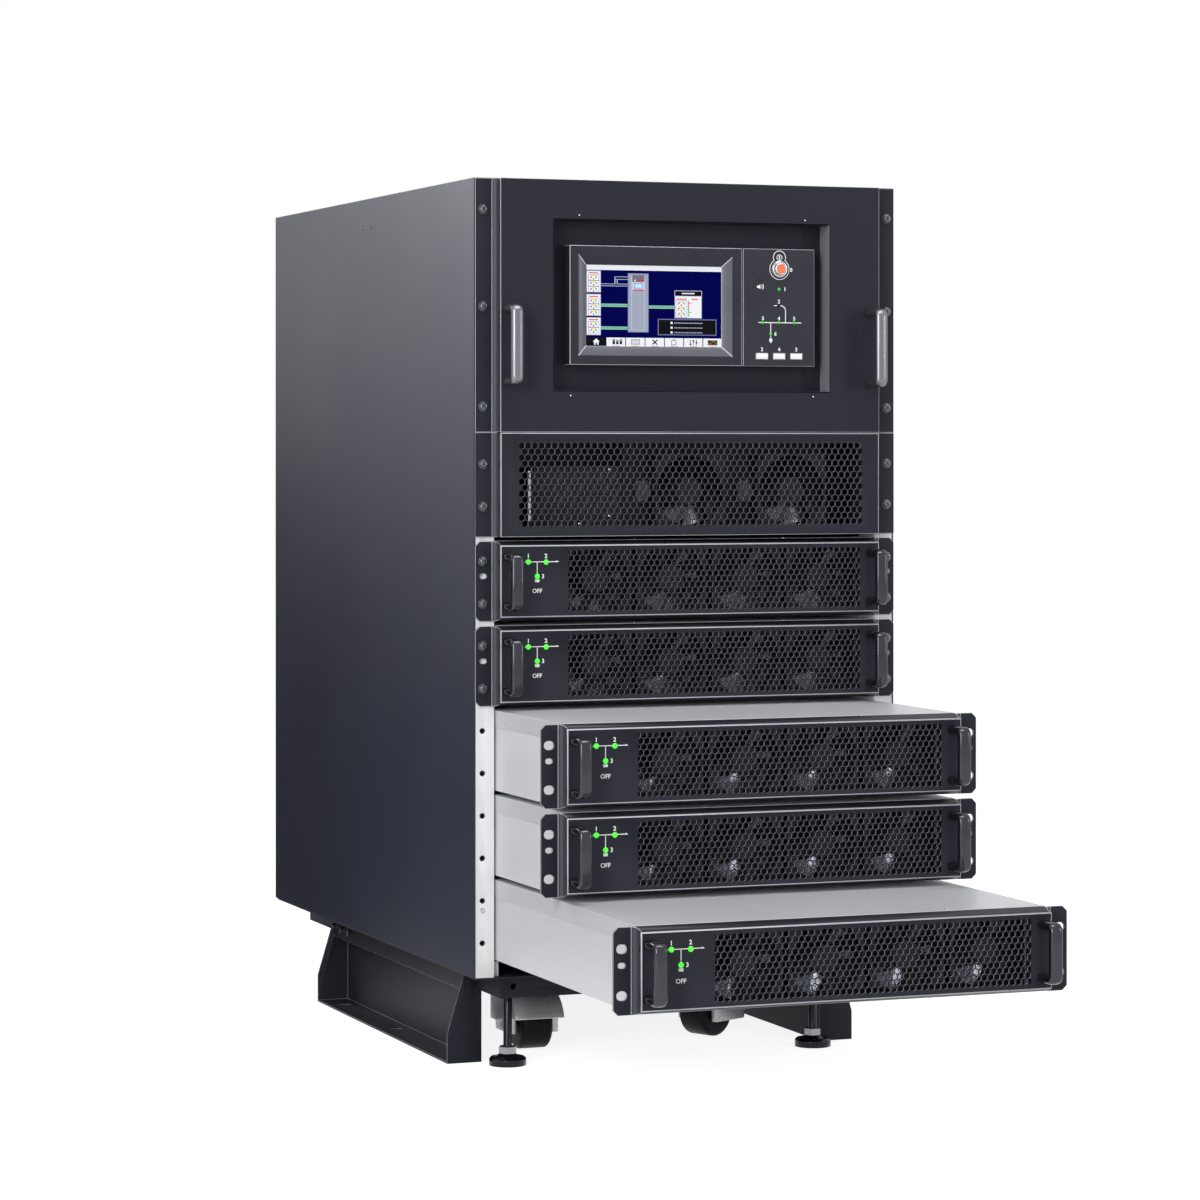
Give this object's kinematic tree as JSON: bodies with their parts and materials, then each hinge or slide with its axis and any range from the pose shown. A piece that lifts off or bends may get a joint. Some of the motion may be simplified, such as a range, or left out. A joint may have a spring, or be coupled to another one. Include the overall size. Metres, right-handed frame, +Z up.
{
  "type": "modular ups cabinet",
  "caption": "Free-standing rack-width power cabinet with a touch-screen control panel, a fan panel and pull-out power modules on runners.",
  "frame": {"origin": "centre of the four floor bolt slots, on the floor", "axes": "+X to the right seen from the front, +Y to the rear, +Z up"},
  "size_m": [0.484, 1.197, 0.943],
  "materials": {
    "paint": "satin charcoal powder coat",
    "front_paint": "satin charcoal powder coat",
    "rail": "satin white paint",
    "case": "zinc-grey coated steel",
    "handle": "dark anodised",
    "black_plastic": "matt",
    "hood": "satin silver-grey",
    "tread": "matt",
    "screen": "gloss",
    "steel": "black oxide",
    "stop": "gloss",
    "key": "matt"
  },
  "bodies": {
    "cabinet": {"side_panel_left": "paint", "side_panel_right": "paint", "top_cover": "paint", "rear_panel": "paint", "front_rails": "rail", "module_runners": "rail", "floor_panel": "paint", "base_frame": "paint", "levelling_feet": "steel", "floor_bracket_left": "paint", "floor_bracket_right": "paint", "control_panel": "front_paint", "display_housing": "black_plastic", "display_screen": "screen", "control_plate": "black_plastic", "panel_handles": "handle", "fan_panel": "front_paint", "fan_tray": "black_plastic"},
    "module_1": {"module_1_chassis": "case", "module_1_bezel": "front_paint", "module_1_handles": "handle", "module_1_fans": "black_plastic"},
    "module_2": {"module_2_chassis": "case", "module_2_bezel": "front_paint", "module_2_handles": "handle", "module_2_fans": "black_plastic"},
    "module_3": {"module_3_chassis": "case", "module_3_bezel": "front_paint", "module_3_handles": "handle", "module_3_fans": "black_plastic"},
    "module_4": {"module_4_chassis": "case", "module_4_bezel": "front_paint", "module_4_handles": "handle", "module_4_fans": "black_plastic"},
    "module_5": {"module_5_chassis": "case", "module_5_bezel": "front_paint", "module_5_handles": "handle", "module_5_fans": "black_plastic"},
    "fan_left": {"fan_rotor_left": "black_plastic"},
    "fan_right": {"fan_rotor_right": "black_plastic"},
    "stop_button": {"stop_button": "stop"},
    "bypass_key": {"bypass_key": "key"},
    "inverter_key": {"inverter_key": "key"},
    "mute_key": {"mute_key": "key"},
    "caster_front_left": {"caster_hood_front_left": "hood"},
    "wheel_front_left": {"caster_wheel_front_left": "tread"},
    "caster_front_right": {"caster_hood_front_right": "hood"},
    "wheel_front_right": {"caster_wheel_front_right": "tread"},
    "caster_rear_left": {"caster_hood_rear_left": "hood"},
    "wheel_rear_left": {"caster_wheel_rear_left": "tread"},
    "caster_rear_right": {"caster_hood_rear_right": "hood"},
    "wheel_rear_right": {"caster_wheel_rear_right": "tread"}
  },
  "joints": [
    {"name": "module_1_slide", "type": "slide", "parent": "cabinet", "child": "module_1", "axis": [0, -1, 0], "range_m": [0, 0.45]},
    {"name": "module_2_slide", "type": "slide", "parent": "cabinet", "child": "module_2", "axis": [0, -1, 0], "range_m": [0, 0.45]},
    {"name": "module_3_slide", "type": "slide", "parent": "cabinet", "child": "module_3", "axis": [0, -1, 0], "range_m": [-0.2, 0.25]},
    {"name": "module_4_slide", "type": "slide", "parent": "cabinet", "child": "module_4", "axis": [0, -1, 0], "range_m": [-0.2, 0.25]},
    {"name": "module_5_slide", "type": "slide", "parent": "cabinet", "child": "module_5", "axis": [0, -1, 0], "range_m": [-0.4, 0.05]},
    {"name": "fan_left_spin", "type": "hinge", "parent": "cabinet", "child": "fan_left", "pos_m": [0.004, -0.421, 0.6135], "axis": [0, 1, 0], "continuous": true},
    {"name": "fan_right_spin", "type": "hinge", "parent": "cabinet", "child": "fan_right", "pos_m": [0.1225, -0.421, 0.6135], "axis": [0, 1, 0], "continuous": true},
    {"name": "stop_button_push", "type": "slide", "parent": "cabinet", "child": "stop_button", "axis": [0, 1, 0], "range_m": [0, 0.003], "stiffness_N_per_m": 900},
    {"name": "bypass_key_push", "type": "slide", "parent": "cabinet", "child": "bypass_key", "axis": [0, 1, 0], "range_m": [0, 0.0006], "stiffness_N_per_m": 1500},
    {"name": "inverter_key_push", "type": "slide", "parent": "cabinet", "child": "inverter_key", "axis": [0, 1, 0], "range_m": [0, 0.0006], "stiffness_N_per_m": 1500},
    {"name": "mute_key_push", "type": "slide", "parent": "cabinet", "child": "mute_key", "axis": [0, 1, 0], "range_m": [0, 0.0006], "stiffness_N_per_m": 1500},
    {"name": "caster_front_left_swivel", "type": "hinge", "parent": "cabinet", "child": "caster_front_left", "pos_m": [-0.121, -0.2425, 0.079], "axis": [0, 0, 1], "continuous": true},
    {"name": "wheel_front_left_spin", "type": "hinge", "parent": "caster_front_left", "child": "wheel_front_left", "pos_m": [-0.121, -0.2725, 0.0285], "axis": [1, 0, 0], "continuous": true},
    {"name": "caster_front_right_swivel", "type": "hinge", "parent": "cabinet", "child": "caster_front_right", "pos_m": [0.121, -0.2425, 0.079], "axis": [0, 0, 1], "continuous": true},
    {"name": "wheel_front_right_spin", "type": "hinge", "parent": "caster_front_right", "child": "wheel_front_right", "pos_m": [0.09427, -0.25612, 0.0285], "axis": [0.454, -0.891, 0], "continuous": true},
    {"name": "caster_rear_left_swivel", "type": "hinge", "parent": "cabinet", "child": "caster_rear_left", "pos_m": [-0.121, 0.1215, 0.079], "axis": [0, 0, 1], "continuous": true},
    {"name": "wheel_rear_left_spin", "type": "hinge", "parent": "caster_rear_left", "child": "wheel_rear_left", "pos_m": [-0.121, 0.1515, 0.0285], "axis": [-1, 0, 0], "continuous": true},
    {"name": "caster_rear_right_swivel", "type": "hinge", "parent": "cabinet", "child": "caster_rear_right", "pos_m": [0.121, 0.1215, 0.079], "axis": [0, 0, 1], "continuous": true},
    {"name": "wheel_rear_right_spin", "type": "hinge", "parent": "caster_rear_right", "child": "wheel_rear_right", "pos_m": [0.121, 0.1515, 0.0285], "axis": [-1, 0, 0], "continuous": true}
  ]
}
